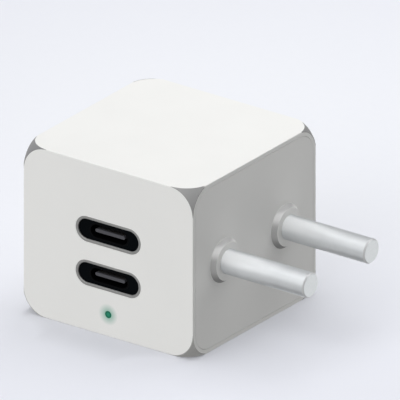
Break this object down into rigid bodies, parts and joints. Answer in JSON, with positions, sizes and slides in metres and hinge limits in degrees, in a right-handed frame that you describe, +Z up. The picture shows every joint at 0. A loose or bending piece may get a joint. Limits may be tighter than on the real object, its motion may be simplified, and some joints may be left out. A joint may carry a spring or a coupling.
{
  "type": "gan charger",
  "caption": "Compact white USB-C wall charger: a square block with rounded corners, with round mains pins on one side, and oval ports and a green indicator on the next.",
  "frame": {"origin": "centre of the flat bottom face, on the surface that the charger rests on", "axes": "+Z up, -Y out of the face with the two ports, +X the way the mains pins point"},
  "size_m": [0.0581, 0.0384, 0.0338],
  "materials": {
    "white_shell": "fine matt moulded, very slight warm tint",
    "pin_metal": "nickel plate over brass, fine turned marks",
    "ring_metal": "satin grey trim",
    "port_black": "black, smooth",
    "shell_metal": "black plated steel",
    "tongue_grey": "dark grey, smooth",
    "contact_gold": "gold plate",
    "light_green": "translucent green, lit from behind",
    "led_body": "clear resin",
    "board_green": "solder resist",
    "solder": "bright tin",
    "fuse_brown": "moulded cap",
    "disc_black": "dipped epoxy",
    "disc_blue": "dipped epoxy",
    "box_yellow": "moulded box",
    "ferrite": "ground ferrite",
    "copper_wire": "enamelled copper",
    "chip_black": "moulded epoxy",
    "chip_tan": "ceramic with tinned ends",
    "can_sleeve": "shrink sleeve",
    "can_metal": "bare drawn can",
    "bobbin_black": "moulded phenolic",
    "tape_yellow": "polyester tape",
    "spreader_aluminium": "rolled sheet",
    "film_cream": "insulating film",
    "pad_grey": "soft silicone"
  },
  "bodies": {
    "root": {"housing": "white_shell", "plug_cover": "white_shell", "mains_pin_front": "pin_metal", "mains_pin_rear": "pin_metal", "port_ring_upper": "ring_metal", "port_ring_lower": "ring_metal", "port_bezel_upper": "port_black", "port_bezel_lower": "port_black", "usb_shell_upper": "shell_metal", "usb_shell_lower": "shell_metal", "usb_insulator_upper": "tongue_grey", "usb_insulator_lower": "tongue_grey", "usb_contacts_upper": "contact_gold", "usb_contacts_lower": "contact_gold", "led_light_pipe": "light_green", "status_led": "led_body", "port_board": "board_green", "main_board": "board_green", "input_board": "board_green", "pin_solder_joints": "solder", "fuse": "fuse_brown", "inrush_thermistor": "disc_black", "varistor": "disc_blue", "x_capacitor": "box_yellow", "choke_core": "ferrite", "choke_winding": "copper_wire", "bridge_rectifier": "chip_black", "bulk_capacitor_1": "can_sleeve", "bulk_capacitor_2": "can_sleeve", "bulk_capacitor_3": "can_sleeve", "transformer_core_upper": "ferrite", "transformer_core_lower": "ferrite", "transformer_bobbin": "bobbin_black", "transformer_winding": "copper_wire", "transformer_tape": "tape_yellow", "transformer_pins": "solder", "gan_power_ic": "chip_black", "sync_rectifier": "chip_black", "optocoupler": "chip_black", "y_capacitor": "disc_blue", "output_capacitor_1": "can_metal", "output_capacitor_2": "can_metal", "buck_inductor_1": "ferrite", "buck_inductor_2": "ferrite", "pd_controller_ic": "chip_black", "port_switches": "chip_black", "chip_capacitors": "chip_tan", "chip_resistors": "chip_black", "heat_spreader": "spreader_aluminium", "insulation_film": "film_cream", "insulation_barrier": "film_cream", "thermal_pad_rear": "pad_grey", "thermal_pad_bottom": "pad_grey"}
  },
  "joints": []
}
